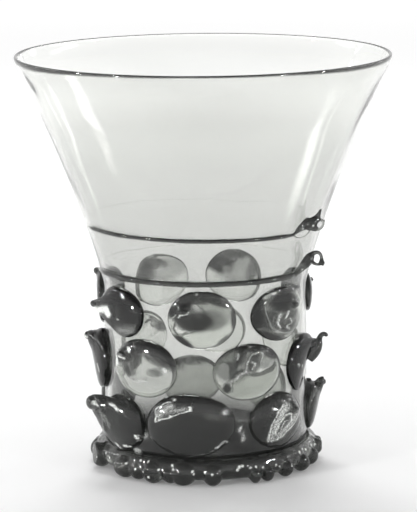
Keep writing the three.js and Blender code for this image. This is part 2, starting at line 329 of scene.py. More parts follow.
# The blown vessel, one wall from the kick over the lip and down again
vessel = {
    "stemRadius": 36.1 * mm,
    "stemHeight": 65 * mm,  # where the bowl starts to flare
    "flarePower": 1.2,
    "rimWall": 1.2 * mm,
    "stemWall": 1.8 * mm,
    "baseWall": 3 * mm,
    "heelRadius": 9 * mm,
    "kickRise": 10 * mm,
    "lipSwell": 0.6 * mm,  # the wall stands fuller just under the lip
    "lipSwellDrop": 3.5 * mm,
    "lipSwellHeight": 4 * mm,
    "dent": 0.22 * mm,  # how far the blown wall wavers inwards
    "dentScale": 26 * mm,
    "dentSeed": 3,
    "thinning": 0.1 * mm,  # how far its thickness wavers
    "thinningScale": 15 * mm,
    "thinningSeed": 8,
    "stillRadius": 2 * mm,  # nothing moves inside it, at the kick's middle
    "stillLip": 6 * mm,
    "turns": 208,
    "kickSteps": 26,
    "heelSteps": 14,
    "wallSteps": 74,
    "lipSteps": 8,
    "lipZone": 3 * mm,  # the wall's finer steps under the lip
    "basePasses": 0.04,
    "passes": [  # height in millimetres and light let through: dark heel, grey stem, clearer mouth
        (3, 0.03), (9, 0.04), (13, 0.35), (18, 0.74), (30, 0.8), (66, 0.78), (78, 0.74), (85, 0.76),
        (97, 0.77), (110, 0.79), (118, 0.81), (126, 0.84), (146, 0.87),
    ],
    "lipDark": [  # painted shade along the lip, deepest where it turns away at the sides: angle and how far down the lip is dark, in millimetres
        (-180, 0.25), (-108, 0.35), (-84, 1.6), (-60, 1.9), (-35, 1.1), (-5, 0.7), (25, 0.85),
        (50, 1.5), (75, 1.4), (105, 0.35), (180, 0.25),
    ],
    "lipEdge": (1.3, 0.6),  # where that ends and how soft it is, in shares of its depth
    "lipPasses": 0.02,
    "mouth": (112, 128, 0.995, 0.86),  # painted shade on the front half: from and to in millimetres, light let through behind and in front
    "mouthSides": (-0.1, 0.2),  # where front turns to back, in shares of the rim's radius
    "heelShadeLift": (0.13, 25 * mm, 4 * mm),  # painted light that lifts the shaded groove at the heel: strength, top, fading
    "glintSpotStrength": 1.6,
    "seeds": [  # white spots low in the wall, painted highlights where glints show: angle, height and size in millimetres
        (-43.5, 9.9, 1.2), (-41, 9.7, 1), (-36, 16.4, 1.1), (18.6, 19.3, 0.7), (20, 17.2, 0.6),
        (21, 15.3, 0.9),
    ],
    # painted shade between the low prunts, in front only: angle, spread, softness, top, fading
    "frontGapShade": (-6, 52, 10, 23.5 * mm, 3 * mm),
}
stemRadius, rimRadius = vessel["stemRadius"], vesselHigh.x
stemHeight, rimHeight = vessel["stemHeight"], vesselHigh.z
baseLift = vesselLow.z
kickRadius = stemRadius - vessel["heelRadius"]
heelTop = baseLift + vessel["heelRadius"]


def wallRadius(height):
    share = min(1, max(0, (height - stemHeight) / (rimHeight - stemHeight)))
    fromSwell = (rimHeight - vessel["lipSwellDrop"] - height) / vessel["lipSwellHeight"]
    swell = vessel["lipSwell"] * bulge(fromSwell)
    return min(rimRadius, mix(stemRadius, rimRadius, share ** vessel["flarePower"]) + swell)


def wallAt(height):
    share = min(1, max(0, (height - stemHeight) / (rimHeight - stemHeight)))
    return mix(vessel["stemWall"], vessel["rimWall"], share)


def kickHeight(share):
    return baseLift + vessel["kickRise"] * (1 + math.cos(math.pi * share)) / 2


def vesselProfile():
    kick = [0, *steps(vessel["kickSteps"])]
    heel = [share * math.pi / 2 for share in steps(vessel["heelSteps"])]
    lip = vessel["rimWall"] / 2
    lipFoot, lipHeight = rimHeight - vessel["lipZone"], rimHeight - lip
    sides = [mix(heelTop, lipFoot, share) for share in steps(vessel["wallSteps"])]
    sides += [mix(lipFoot, lipHeight, share) for share in steps(vessel["lipSteps"])]
    over = [math.pi * share for share in steps(vessel["lipSteps"])[:-1]]

    def heelCurve(width, depth, turns):
        return [(kickRadius + width * math.sin(turn), heelTop - depth * math.cos(turn)) for turn in turns]

    outside = [(share * kickRadius, kickHeight(share)) for share in kick]
    outside += heelCurve(vessel["heelRadius"], vessel["heelRadius"], heel)
    outside += [(wallRadius(height), height) for height in sides]
    outside += [(rimRadius - lip + lip * math.cos(turn), lipHeight + lip * math.sin(turn)) for turn in over]
    inside = [(wallRadius(height) - wallAt(height), height) for height in reversed(sides)]
    width, depth = vessel["heelRadius"] - vessel["stemWall"], vessel["heelRadius"] - vessel["baseWall"]
    inside += heelCurve(width, depth, reversed(heel))
    inside += [(share * kickRadius, kickHeight(share) + vessel["baseWall"]) for share in reversed(kick)]
    return outside + inside


def vesselPasses(point):
    if math.hypot(point.x, point.y) < kickRadius:
        return vessel["basePasses"]
    turn, height = math.degrees(angleOf(point)), point.z / mm
    # painted shade: the wall darkened between the front low prunts
    angle, spread, softness, top, fading = vessel["frontGapShade"]
    inFront = smoothStep((spread - abs(turn - angle)) / softness)
    frontGapShade = inFront * smoothStep((top - point.z) / fading)
    passes = mix(alongTable(vessel["passes"], height), vessel["basePasses"], frontGapShade)

    # painted shade: the mouth's front half lets less light through than its back
    low, high, backPasses, frontPasses = vessel["mouth"]
    front, over = vessel["mouthSides"]
    atMouth = mix(frontPasses, backPasses, smoothStep((point.y / rimRadius - front) / over))
    passes = mix(passes, atMouth, smoothStep((height - low) / (high - low)))

    # painted shade: the lip darkened, most where it turns away at the sides
    lip = (rimHeight - point.z) / mm / alongTable(vessel["lipDark"], turn)
    end, fading = vessel["lipEdge"]
    return mix(passes, vessel["lipPasses"], smoothStep((end - lip) / fading))


# painted light on the vessel: a white lift over the shaded heel, and white spots standing in for glints low
# in the wall
def vesselPaintedLight(point):
    strength, top, fading = vessel["heelShadeLift"]
    paintedLight = strength * smoothStep((top - point.z) / fading)
    for angle, height, size in vessel["seeds"]:
        away = (point - onWall(math.radians(angle), stemRadius, height * mm)).length / (size * mm)
        paintedLight = max(paintedLight, vessel["glintSpotStrength"] * bulge(away))
    return paintedLight


def buildVessel():
    bm = bmesh.new()
    spots = [bm.verts.new((radius, 0, height)) for radius, height in vesselProfile()]
    edges = [bm.edges.new(pair) for pair in zip(spots, spots[1:])]
    bmesh.ops.spin(
        bm, geom=spots + edges, cent=(0, 0, 0), axis=(0, 0, 1), dvec=(0, 0, 0),
        angle=2 * math.pi, steps=vessel["turns"], use_merge=True, use_duplicate=False,
    )
    bmesh.ops.remove_doubles(bm, verts=bm.verts, dist=mergeDistance)
    for vert in bm.verts:
        radius = math.hypot(vert.co.x, vert.co.y)
        if radius < vessel["stillRadius"]:
            continue
        isInner = vert.co.z > heelTop and radius < wallRadius(vert.co.z) - wallAt(vert.co.z) / 2
        calm = smoothStep((vert.co.z - baseLift) / heelTop) * smoothStep(radius / kickRadius)
        move = vessel["dent"] * (wavering(vert.co, vessel["dentScale"], vessel["dentSeed"]) - 1) / 2
        if isInner:
            lipCalm = smoothStep((rimHeight - vert.co.z) / vessel["stillLip"])
            thinning = wavering(vert.co, vessel["thinningScale"], vessel["thinningSeed"])
            move += vessel["thinning"] * thinning * lipCalm
        scale = 1 + move * calm / radius
        vert.co.x *= scale
        vert.co.y *= scale
    keepMesh("blownVessel", bm, "vessel", "vesselGlass", vesselPasses, vesselPaintedLight)


buildVessel()
print("vessel blown")

# Prunts: seven in a row, laid on the stem and drawn out into thorns
prunt = {
    "inRow": 7,
    "edges": {"low": 0.5 * mm, "mid": 0.9 * mm, "top": 0.9 * mm},  # how high the rims stand
    "crown": 4.3 * mm,  # height of the middle
    "thornReach": 6 * mm,  # from the wall
    "bodyShare": 0.7,  # of the crown, where the thorn begins
    "widthShare": 0.72,
    "heightShare": 0.333,
    "rowShares": {"low": 0.19, "mid": 0.49, "top": 0.805},
    "sink": 0.9 * mm,  # its back is fused into the wall
    "sinkSteepness": 6,  # how soon that is, behind the rim
    "sides": 88,
    "rings": 72,
    "frontShare": 0.82,  # of the rings, from the thorn's tip to the rim
    "tipShare": 0.88,  # of the way in from the rim, where the tip's rounding starts
    "tipRound": 0.8,  # height of the rounding, in shares of its half-width
    "hookShare": 0.7,  # of the way to the tip, where its hook starts
    "dent": 0.035,  # share of its size
    "dentScale": 0.9,
    "tipDent": 2,  # how much more the thorn is dented
    "tipStretch": 2,  # how fast the dents change along it
    "seeds": {"low": 1, "mid": 40, "top": 80},
    "seedStep": 11,
    "rimEdge": (0.9, 0.08),  # where the rim's painted shade starts and how soft that is
    "paintedShadeEdge": (1.25, 0.45),  # where a patch of painted shade ends and how soft that is
    "stray": 0.06,  # how far a painted highlight strays from its line
    "strayScale": 0.22,
    "straySeeds": (4, 7),
    "voxel": 0.3 * mm,
}
lowerTrailHeight, upperTrailHeight = 71 * mm, 86.3 * mm
lowerTrailRadius, upperTrailRadius = 1.05 * mm, 0.75 * mm
rowsFoot = footHigh.z
rowsSpan = lowerTrailHeight - lowerTrailRadius - rowsFoot
pruntHalfWidth = prunt["widthShare"] * math.pi * stemRadius / prunt["inRow"]
pruntHalfHeight = prunt["heightShare"] * rowsSpan / 2

# angle, rise, width, height, thorn's tip to the side and up, reach, crown, hook out and up;
# all but the angle are shares, of a prunt's half-sizes or of the lengths above
pruntRows = {
    "low": [
        (-115, 0, 0.95, 0.95, -0.7, 0.95, 0.7, 1, 0.03, 0.14),
        (-53, -0.19, 0.92, 1, -0.72, 0.62, 1.22, 1.15, 0.04, 0),
        (-9, 0.02, 1.36, 1.1, -0.3, 0.4, 0.8, 1.2, 0, 0),
        (42.5, -0.01, 0.96, 0.99, 0.3, 0.35, 0.95, 1.15, 0, 0),
        (97, -0.24, 0.94, 0.86, 0.15, 0.8, 1.02, 1.05, 0.05, 0.06),
        (141, 0, 1, 0.96, 0.2, 0.6, 0.9, 1, 0.03, 0),
        (189, -0.06, 1, 0.93, 0, 0.65, 0.9, 1, 0.03, 0.05),
    ],
    "mid": [
        (-88, -0.14, 0.96, 1.06, -0.1, 0.78, 0.92, 1, 0.03, -0.05),
        (-35.9, 0.1, 1.1, 1.02, -0.5, 0.45, 0.7, 1.05, 0, 0),
        (24, 0.03, 1.1, 0.98, 0.12, 0.84, 0.6, 0.62, 0, -0.1),
        (68.5, -0.1, 0.96, 1.04, 0.2, 0.6, 0.62, 0.85, 0, 0),
        (124, 0, 1, 0.98, 0.1, 0.65, 0.9, 1, 0.03, 0.05),
        (173, 0.08, 0.98, 0.92, -0.1, 0.7, 0.7, 0.8, 0.03, 0),
        (222, 0, 1, 0.96, -0.6, 0.3, 0.7, 0.8, 0.03, 0.05),
    ],
    "top": [
        (-152, 0.08, 0.98, 0.96, 0.1, 0.5, 0.7, 0.8, 0.02, 0),
        (-105, -0.02, 0.95, 0.98, -0.1, 0.8, 0.62, 0.8, 0.03, 0.05),
        (-54, 0, 1, 0.92, -0.93, 0.16, 0.8, 1.1, 0.03, 0),
        (-2, 0.03, 1, 1, -0.45, 0.3, 0.62, 0.78, 0, 0),
        (44.6, 0.02, 1.04, 0.94, 0.36, 0.25, 0.6, 0.85, 0, 0.04),
        (106, 0.1, 1.05, 0.72, 0.1, 0.45, 0.58, 0.7, 0, 0),
        (162, 0.16, 0.96, 0.94, 0.1, 0.55, 0.7, 0.8, 0.02, 0),
    ],
}
# What sets single prunts apart, in shares of their half-sizes.
# passes: light let through. The rim's tone: the same at its edge, as painted shade.
# patches of painted shade and painted light, the dark and light shapes seen through the glass: side, up,
# half-width, half-height, tilt, light let through.
# painted highlights, as white lines of (side, up) points, with width and strength.
# folds: the same with a height in millimetres instead of the strength.
# notches: direction, depth, spread. lean: how late the thorn leaves the body. tipSize: how blunt it is.
# strands: lines of (side, up, out, radius) in millimetres.
pruntMarks = {
    ("top", 1): {"passes": 0.92, "rim": 0.7, "paintedShades": [
        (-0.1, 0.4, 0.8, 0.45, 0, 0.6), (0.2, 0.68, 0.5, 0.16, 10, 0.15), (0.5, 0.3, 0.3, 0.4, 15, 0.2),
        (0.64, 0.42, 0.26, 0.34, 20, 0.03),
    ]},
    ("top", 2): {"passes": 0.04},
    ("top", 3): {
        "passes": 0.02, "tipSize": 0.95, "lean": 1.45, "notches": [(226, 0.6, 44)],
        "paintedShades": [(0.45, -0.55, 0.42, 0.3, 20, 0.2)],
        "glints": [
            ([(-0.8, -0.06), (-0.26, 0.1), (-0.2, -0.04)], 0.13, 2.4),
            ([(0.22, -0.16), (0.24, -0.18)], 0.05, 1),
            ([(0.3, -0.6), (0.62, -0.5)], 0.18, 0.5), ([(-0.6, 0.58), (-0.58, 0.6)], 0.04, 1.4),
        ],
    },
    ("top", 4): {
        "passes": 0.97, "rim": 0.55,
        "paintedShades": [
            (0.3, 0.2, 0.62, 0.46, 0, 0.6), (0.2, 0, 0.5, 0.34, 0, 0.34),
            (-0.2, -0.04, 0.52, 0.34, 0, 0.03), (-0.64, 0.44, 0.46, 0.36, 50, 0.02),
            (-0.1, 0.78, 0.7, 0.2, 0, 0.04), (0.5, 0.62, 0.4, 0.14, -25, 0.06),
            (0.94, 0.1, 0.1, 0.5, 0, 0.12), (-0.52, -0.72, 0.32, 0.09, -38, 0.02),
            (0.66, -0.66, 0.3, 0.06, 40, 0.3),
        ],
        "glints": [
            ([(-0.62, 0.14), (-0.56, 0.22), (-0.4, 0.24), (-0.34, 0.32)], 0.035, 1),
            ([(-0.86, 0.02), (-0.7, 0.2)], 0.03, 0.7), ([(-0.15, 0.9), (-0.13, 0.92)], 0.04, 1),
        ],
    },
    ("top", 5): {
        "passes": 0.95, "rim": 0.6,
        "paintedShades": [
            (0.1, -0.3, 0.7, 0.5, -20, 0.4), (0.12, -0.35, 0.42, 0.3, -30, 0.15),
            (-0.4, -0.15, 0.26, 0.4, 0, 0.2), (-0.88, 0.1, 0.25, 0.86, -6, 0.01),
            (-0.5, -0.72, 0.5, 0.13, -32, 0.02), (-0.1, -0.88, 0.36, 0.09, -18, 0.03),
            (0.04, 0.46, 0.5, 0.38, 0, 0.01), (0.44, 0.34, 0.24, 0.14, -20, 0.01),
            (0.3, 0.95, 0.8, 0.18, -14, 0.02),
        ],
        "glints": [
            ([(-0.64, 0.4), (-0.6, 0), (-0.44, -0.42)], 0.025, 0.6),
            ([(-0.16, 0.02), (-0.24, -0.2), (-0.14, -0.46)], 0.05, 1.1),
            ([(0.12, 0.1), (0.04, -0.14)], 0.045, 1.2),
            ([(0.2, -0.2), (0.3, -0.34), (0.12, -0.5), (0.24, -0.62)], 0.04, 0.9),
            ([(-0.4, 0.8), (-0.3, 0.84)], 0.04, 1),
            ([(-0.3, -0.56), (-0.04, -0.7), (0.3, -0.74)], 0.03, 0.7),
            ([(0.5, -0.3), (0.56, -0.5)], 0.04, 0.6),
        ],
        "folds": [
            ([(-0.3, -0.05), (-0.38, -0.35), (-0.2, -0.55)], 0.07, 0.3),
            ([(0.2, -0.4), (0.4, -0.5)], 0.06, 0.3),
        ],
        "strands": [[(-3, 8.6, 0.4, 0.7), (2, 8.6, 0.8, 0.9), (7, 8, 0.9, 1), (11, 7.4, 0.5, 0.8)]],
    },
    ("top", 6): {"passes": 0.04},
    ("top", 7): {"passes": 0.9, "rim": 0.6, "paintedShades": [
        (-0.1, 0.35, 0.85, 0.6, 0, 0.5), (-0.72, 0.35, 0.2, 0.5, 20, 0.15),
        (0.05, 0.75, 0.6, 0.14, -8, 0.12), (0.5, 0.4, 0.44, 0.32, 15, 0.02),
        (0.24, 0.2, 0.2, 0.14, 0, 0.3),
    ]},
    ("mid", 1): {"passes": 0.02, "glints": [
        ([(0, 0.7), (0.02, 0.72)], 0.06, 1.3), ([(0.6, -0.1), (0.62, -0.3)], 0.06, 1),
        ([(0.4, -0.5), (0.42, -0.5)], 0.05, 1),
    ]},
    ("mid", 2): {
        "passes": 0.86, "rim": 0.5,
        "paintedShades": [
            (0.1, -0.5, 0.7, 0.3, 0, 0.78), (-0.5, 0.55, 0.46, 0.4, 20, 0.04),
            (-0.36, -0.02, 0.1, 0.3, 8, 0.04), (0.5, 0.56, 0.66, 0.3, -38, 0.06),
            (0.43, -0.05, 0.2, 0.14, 0, 0.3),
        ],
        "glints": [
            ([(-0.8, 0.4), (-0.72, 0.2), (-0.76, 0.05)], 0.06, 1.5),
            ([(-0.78, 0.56), (-0.7, 0.6), (-0.62, 0.5)], 0.04, 1.4),
            ([(-0.5, 0.4), (-0.44, 0.34)], 0.06, 1.5), ([(-0.34, 0.7), (-0.29, 0.58)], 0.045, 1.4),
            ([(-0.48, -0.28), (-0.1, -0.42), (0.25, -0.36)], 0.025, 0.6),
            ([(0.68, 0.08), (0.72, 0.02)], 0.06, 1),
        ],
    },
    ("mid", 3): {
        "passes": 0.94, "rim": 0.5,
        "paintedShades": [
            (0.4, 0.42, 0.4, 0.3, -40, 0.45), (-0.55, 0.3, 0.46, 0.62, 18, 0.4),
            (0.15, 0.9, 0.46, 0.14, 0, 0.01), (-0.28, 0.62, 0.12, 0.32, -14, 0.04),
            (0.62, 0.6, 0.32, 0.17, -42, 0.04), (0.06, 0.38, 0.2, 0.4, -4, 0.08),
            (-0.62, -0.5, 0.1, 0.18, 0, 0.04),
        ],
        "glints": [
            ([(-0.14, 0.06), (-0.53, -0.28)], 0.035, 0.9),
            ([(0.12, 0.8), (-0.05, 0.62), (-0.12, 0.3), (-0.14, 0.06)], 0.03, 0.8),
            ([(0.12, 0.8), (0.3, 0.66), (0.26, 0.3)], 0.03, 0.7),
            ([(0.02, 0.4), (0.1, 0.3), (0.04, 0.16)], 0.035, 1),
            ([(-0.1, 0), (0.1, 0.04)], 0.025, 0.7), ([(-0.4, 0.5), (-0.38, 0.7)], 0.035, 0.8),
        ],
    },
    ("mid", 4): {
        "passes": 0.02, "notches": [(-30, 0.5, 50)], "folds": [([(0.35, -0.1), (0.1, -0.7)], 0.5, -2)],
        "glints": [([(-0.65, 0.1), (-0.6, 0)], 0.05, 1), ([(-0.4, 0), (-0.42, -0.08)], 0.04, 1)],
        "strands": [
            [(3, 0.2, 1.8, 1.6), (4.2, 2.6, 3.4, 2.6), (5, 5, 4, 2.9), (5.6, 7.2, 4.4, 1.8)],
            [(6, 5.6, 4.8, 1.3), (6, 8, 5, 0.95), (6, 9.2, 6.2, 0.85), (6, 9.1, 7.3, 0.8),
             (6, 8.1, 7.8, 0.65)],
        ],
    },
    ("mid", 5): {"passes": 0.93, "paintedShades": [(0.2, 0.6, 0.5, 0.25, 0, 0.3)]},
    ("mid", 6): {"passes": 0.97},
    ("mid", 7): {"passes": 0.9, "paintedShades": [(-0.78, 0.3, 0.25, 0.2, 10, 0.12)]},
    ("low", 1): {"passes": 0.04},
    ("low", 2): {
        "passes": 0.02, "tipSize": 1.9, "lean": 1.4,
        "glints": [
            ([(0.02, 0.75), (0.28, 0.58)], 0.055, 1.4), ([(-1.12, 0.43), (-0.86, 0.36)], 0.05, 1.4),
            ([(-0.53, 0.72), (-0.44, 0.58)], 0.05, 1.3),
            ([(-0.36, 0.36), (-0.2, 0.1), (-0.12, -0.1)], 0.1, 0.5),
            ([(-0.2, 0.3), (-0.06, 0)], 0.08, 0.5), ([(0.36, -0.74), (0.55, -0.72)], 0.05, 1.4),
            ([(0.03, -0.7), (0.12, -0.84)], 0.06, 1.4), ([(0.78, -0.3), (0.84, -0.38)], 0.05, 1.6),
            ([(0.9, -0.3), (0.98, -0.33)], 0.04, 1.5), ([(0.8, -0.46), (0.9, -0.44)], 0.03, 1),
        ],
        "folds": [([(-0.3, 0.75), (-0.2, 0.3), (-0.35, -0.3)], 0.08, 0.4)],
    },
    ("low", 3): {
        "passes": 0.02,
        "glints": [
            ([(-0.6, 0.32), (-0.5, 0.52), (-0.38, 0.66)], 0.12, 0.9),
            ([(-0.46, 0.48), (-0.28, 0.54), (-0.06, 0.62)], 0.11, 0.75),
            ([(-0.67, 0.16), (-0.66, 0.5), (-0.54, 0.7), (-0.36, 0.8)], 0.022, 1.2),
            ([(-0.67, 0.16), (-0.4, 0.3), (-0.16, 0.46), (0.06, 0.56)], 0.025, 1.3),
            ([(0.04, 0.58), (0.05, 0.68)], 0.03, 1.4),
            ([(-0.95, 0.44), (-0.86, 0.66), (-0.74, 0.78)], 0.045, 1.5),
            ([(0, -0.93), (0.4, -0.82), (0.62, -0.66)], 0.025, 0.5),
            ([(0.62, -0.6), (0.7, -0.45), (0.82, -0.5), (0.8, -0.66)], 0.045, 1),
            ([(0.57, -0.66), (0.6, -0.62)], 0.045, 1.6), ([(-0.56, 0.92), (-0.52, 0.93)], 0.035, 1.4),
            ([(-0.32, 0.9), (-0.28, 0.86)], 0.035, 1.4), ([(-0.92, -0.5), (-0.86, -0.48)], 0.06, 1.4),
        ],
    },
    ("low", 4): {
        "passes": 0.02,
        "glints": [
            ([(-0.4, -0.54), (-0.3, -0.1), (-0.1, 0.34), (0.06, 0.56)], 0.16, 1),
            ([(-0.14, -0.46), (0.2, -0.14), (0.4, 0.2)], 0.24, 0.9),
            ([(-0.52, -0.64), (-0.48, -0.2), (-0.3, 0.25), (-0.06, 0.6)], 0.035, 1.4),
            ([(-0.5, -0.68), (-0.2, -0.62), (0.1, -0.44), (0.42, -0.1), (0.56, 0.2), (0.46, 0.5)],
             0.035, 1.4),
            ([(-0.3, -0.4), (-0.22, -0.05), (0, 0.25), (0.16, 0.22), (0.2, 0), (0.04, -0.3)], 0.04, 1.4),
            ([(-0.14, -0.24), (-0.04, 0.02), (0.06, 0.04)], 0.035, 1.1),
            ([(-0.4, -0.66), (-0.38, -0.68)], 0.06, 1.2),
        ],
    },
    ("low", 5): {
        "passes": 0.03, "glints": [([(0.3, 0.3), (0.31, 0.32)], 0.05, 1)],
        "strands": [
            [(0, 5, 3, 1.6), (0, 8, 4.2, 1.2), (0, 9.4, 5.6, 0.9), (0, 9, 6.6, 0.7)],
            [(0, 6, 1, 1.4), (0, 9.4, 1.2, 0.9)],
        ],
    },
    ("low", 6): {"passes": 0.88},
    ("low", 7): {"passes": 0.72, "rim": 0.4, "paintedShades": [
        (-0.1, 0.8, 0.5, 0.16, 0, 0.1), (0.3, 0.55, 0.16, 0.14, 0, 0.3),
    ]},
}
# from rim to thorn: size, way along to the tip, height on the crown, height on the thorn
ringShares = [
    (1, 0, 0, 0),
    (0.97, 0.02, 0.34, 0),
    (0.87, 0.1, 0.68, 0.02),
    (0.7, 0.28, 0.9, 0.12),
    (0.5, 0.52, 0.98, 0.34),
    (0.34, 0.74, 1, 0.6),
    (0.22, 0.9, 1, 0.84),
    (0.13, 1, 1, 1),
]
nearlyOne = 0.9999  # the last place with a ring after it


def alongRings(share):
    # the ring at a share of the way from rim to tip, on a smooth curve through ringShares
    place = min(nearlyOne, max(0, share)) * (len(ringShares) - 1)
    index = int(place)
    part = place - index
    before, after = ringShares[max(0, index - 1)], ringShares[min(len(ringShares) - 1, index + 2)]
    here, there = ringShares[index], ringShares[index + 1]
    values = []
    for a, b, c, d in zip(before, here, there, after):
        bend = (2 * a - 5 * b + 4 * c - d) * part ** 2 + (3 * b - a - 3 * c + d) * part ** 3
        values.append(0.5 * (2 * b + (c - a) * part + bend))
    return values


def fromLine(side, up, line):
    # how far a spot lies from a line of points
    least = math.inf
    spot = Vector((side, up))
    for start, end in zip(line, line[1:]):
        start, way = Vector(start), Vector(end) - Vector(start)
        share = min(1, max(0, (spot - start).dot(way) / way.length_squared))
        least = min(least, (spot - start - way * share).length)
    return least


def strayed(side, up):
    # nothing in worked glass runs straight
    spot = Vector((side, up, 0))
    sideSeed, upSeed = prunt["straySeeds"]
    side += prunt["stray"] * wavering(spot, prunt["strayScale"], sideSeed)
    up += prunt["stray"] * wavering(spot, prunt["strayScale"], upSeed)
    return side, up


# painted shade and light: the prunt's darker rim and the dark and light patches seen through it
def shadedPasses(marks, side, up):
    edge, fading = prunt["rimEdge"]
    atRim = smoothStep((math.hypot(side, up) - edge) / fading)
    passes = mix(marks["passes"], marks.get("rim", marks["passes"]), atRim)
    end, fading = prunt["paintedShadeEdge"]
    for sideAt, upAt, wide, tall, tilt, paintedLevel in marks.get("paintedShades", []):
        turn = math.radians(tilt)
        x, y = side - sideAt, up - upAt
        along = x * math.cos(turn) + y * math.sin(turn)
        across = y * math.cos(turn) - x * math.sin(turn)
        passes = mix(passes, paintedLevel, smoothStep((end - math.hypot(along / wide, across / tall)) / fading))
    return passes


# painted highlights: white lines where glints and bright facets show
def paintedGlints(marks, side, up):
    paintedLight = 0
    side, up = strayed(side, up)
    for line, wide, strength in marks.get("glints", []):
        paintedLight = max(paintedLight, strength * bulge(fromLine(side, up, line) / wide))
    return paintedLight


def buildPrunt(row, index, spec):
    angle, rise, width, height, tipSide, tipUp, reach, crown, hookOut, hookUp = spec
    marks = pruntMarks[row, index]
    halfWidth, halfHeight = pruntHalfWidth * width, pruntHalfHeight * height
    middle = rowsFoot + prunt["rowShares"][row] * rowsSpan + rise * pruntHalfHeight
    edge = prunt["edges"][row]
    body = prunt["crown"] * crown * prunt["bodyShare"]
    thorn = prunt["thornReach"] * reach - body
    seed = prunt["seedStep"] * index + prunt["seeds"][row]

    def onPrunt(side, up, out):
        level = middle + up
        return onWall(math.radians(angle) + side / stemRadius, wallRadius(level) + out, level)

    def fromPrunt(point):
        # side and up, in shares of its half-sizes
        side = math.remainder(angleOf(point) - math.radians(angle), 2 * math.pi) * stemRadius / halfWidth
        return side, (point.z - middle) / halfHeight

    def frontRing(share):
        # its size, way to the tip and height, from the rim at 0 to the tip at 1
        size, along, onCrown, onThorn = alongRings(share / prunt["tipShare"])
        along = max(0, along) ** marks.get("lean", 1)
        size *= mix(1, marks.get("tipSize", 1), along)
        cap = max(0, (share - prunt["tipShare"]) / (1 - prunt["tipShare"]))
        out = mix(edge, body, onCrown) + thorn * onThorn + size * halfWidth * prunt["tipRound"] * cap
        return size * math.sqrt(max(0, 1 - cap * cap)), along, out

    def backRing(share):
        # the same behind, from the rim at 0
        sunk = min(1, prunt["sinkSteepness"] * share)
        return math.cos(share * math.pi / 2), 0, mix(edge, -prunt["sink"], sunk)

    bm = bmesh.new()
    bmesh.ops.create_uvsphere(bm, u_segments=prunt["sides"], v_segments=prunt["rings"], radius=1)
    for vert in bm.verts:
        polar = math.acos(min(1, max(-1, vert.co.z))) / math.pi  # 0 at the thorn's tip, 1 behind
        turn = math.atan2(vert.co.y, vert.co.x)
        isFront = polar < prunt["frontShare"]
        if isFront:
            size, along, out = frontRing(1 - polar / prunt["frontShare"])
        else:
            size, along, out = backRing((polar - prunt["frontShare"]) / (1 - prunt["frontShare"]))
        spot = Vector((math.cos(turn), math.sin(turn), prunt["tipStretch"] * along))
        dent = prunt["dent"] * wavering(spot, prunt["dentScale"], seed)
        size *= 1 + dent * (1 + prunt["tipDent"] * along)
        for direction, depth, spread in marks.get("notches", []):
            size *= 1 - depth * bulge(turnFrom(math.degrees(turn), direction) / spread) * (1 - along)
        hook = smoothStep((along - prunt["hookShare"]) / (1 - prunt["hookShare"]))
        side = along * tipSide + size * math.cos(turn)
        up = along * tipUp + hookUp * hook + size * math.sin(turn)
        out += hookOut * halfWidth * hook
        if isFront:
            for line, wide, tall in marks.get("folds", []):
                out += tall * mm * bulge(fromLine(side, up, line) / wide)
        vert.co = onPrunt(side * halfWidth, up * halfHeight, out)

    if "strands" in marks:
        for strand in marks["strands"]:
            points = [onPrunt(side * mm, up * mm, out * mm) for side, up, out, thick in strand]
            addTube(bm, points, [thick * mm for *place, thick in strand])
        bm = meltTogether(bm, prunt["voxel"])

    kind, slotName = ("lowPruntGlass", "low_prunt_glass") if row == "low" else ("pruntGlass", "prunt_glass")
    keepMesh(
        f"{row}Prunt{index}", bm, f"prunt_{row}_{index}", kind,
        passes=lambda point: shadedPasses(marks, *fromPrunt(point)),
        paintedLight=lambda point: paintedGlints(marks, *fromPrunt(point)),
    )


for row, specs in pruntRows.items():
    for index, spec in enumerate(specs, 1):
        buildPrunt(row, index, spec)
print("prunts laid on")

# The foot: a thick trail under the heel, pinched into knobs
foot = {
    "radius": 36.4 * mm,  # of the trail's middle
    "height": 5.5 * mm,
    "wide": 3 * mm,
    "tall": 3.7 * mm,
    "sides": 28,
    "turns": 200,
    "knobDetail": 3,
    "sink": 0.8 * mm,  # fused into the heel
    "voxel": 0.38 * mm,
    "lump": 0.6 * mm,
    "lumpRise": 0.5,  # how much of a lump goes upwards
    "lumpScale": 4.5 * mm,
    "lumpSeed": 5,
    "still": 2 * mm,  # the lumps set in over this much above its underside and out from its middle
    "passes": 0.02,
    "clearPasses": 0.75,
    "clearAt": (86, 16, 1.2),  # where its glass is clear, how far, and where that ends in shares of it
    "clearAbove": (3 * mm, 3 * mm),  # height, and how soft its start is
    "footGlintStrength": 2,
    "glints": [  # white dots on its outer side, painted highlights where glints show: angle, height and size in millimetres
        (-36, 7.6, 0.4), (-31, 7.8, 0.4), (-38, 4.6, 0.45), (-32.6, 4.5, 0.4), (-29, 3, 0.5),
        (-24.5, 5.6, 0.4), (-17.7, 7.2, 0.5), (-17, 6.2, 0.4), (-7, 5.6, 0.5), (-6.4, 4.7, 0.4),
        (-0.8, 5.4, 0.4), (2.6, 5, 0.45), (15.8, 5.6, 0.5), (16.8, 6.5, 0.6), (18.4, 6.9, 0.5),
        (22.5, 6, 0.45), (25.7, 6.1, 0.4), (29.5, 5.7, 0.4), (38, 5.4, 0.45), (40.4, 4.6, 0.35),
        (46, 4.6, 0.4), (57, 7.4, 0.5), (64, 7.2, 0.45), (74, 7, 0.6), (80, 6.2, 0.5), (-44, 6, 0.4),
        (-52, 5.2, 0.4), (-60, 5.5, 0.4), (-64, 6.6, 0.4), (-69, 4.6, 0.4), (-76, 6.6, 0.4),
    ],
}
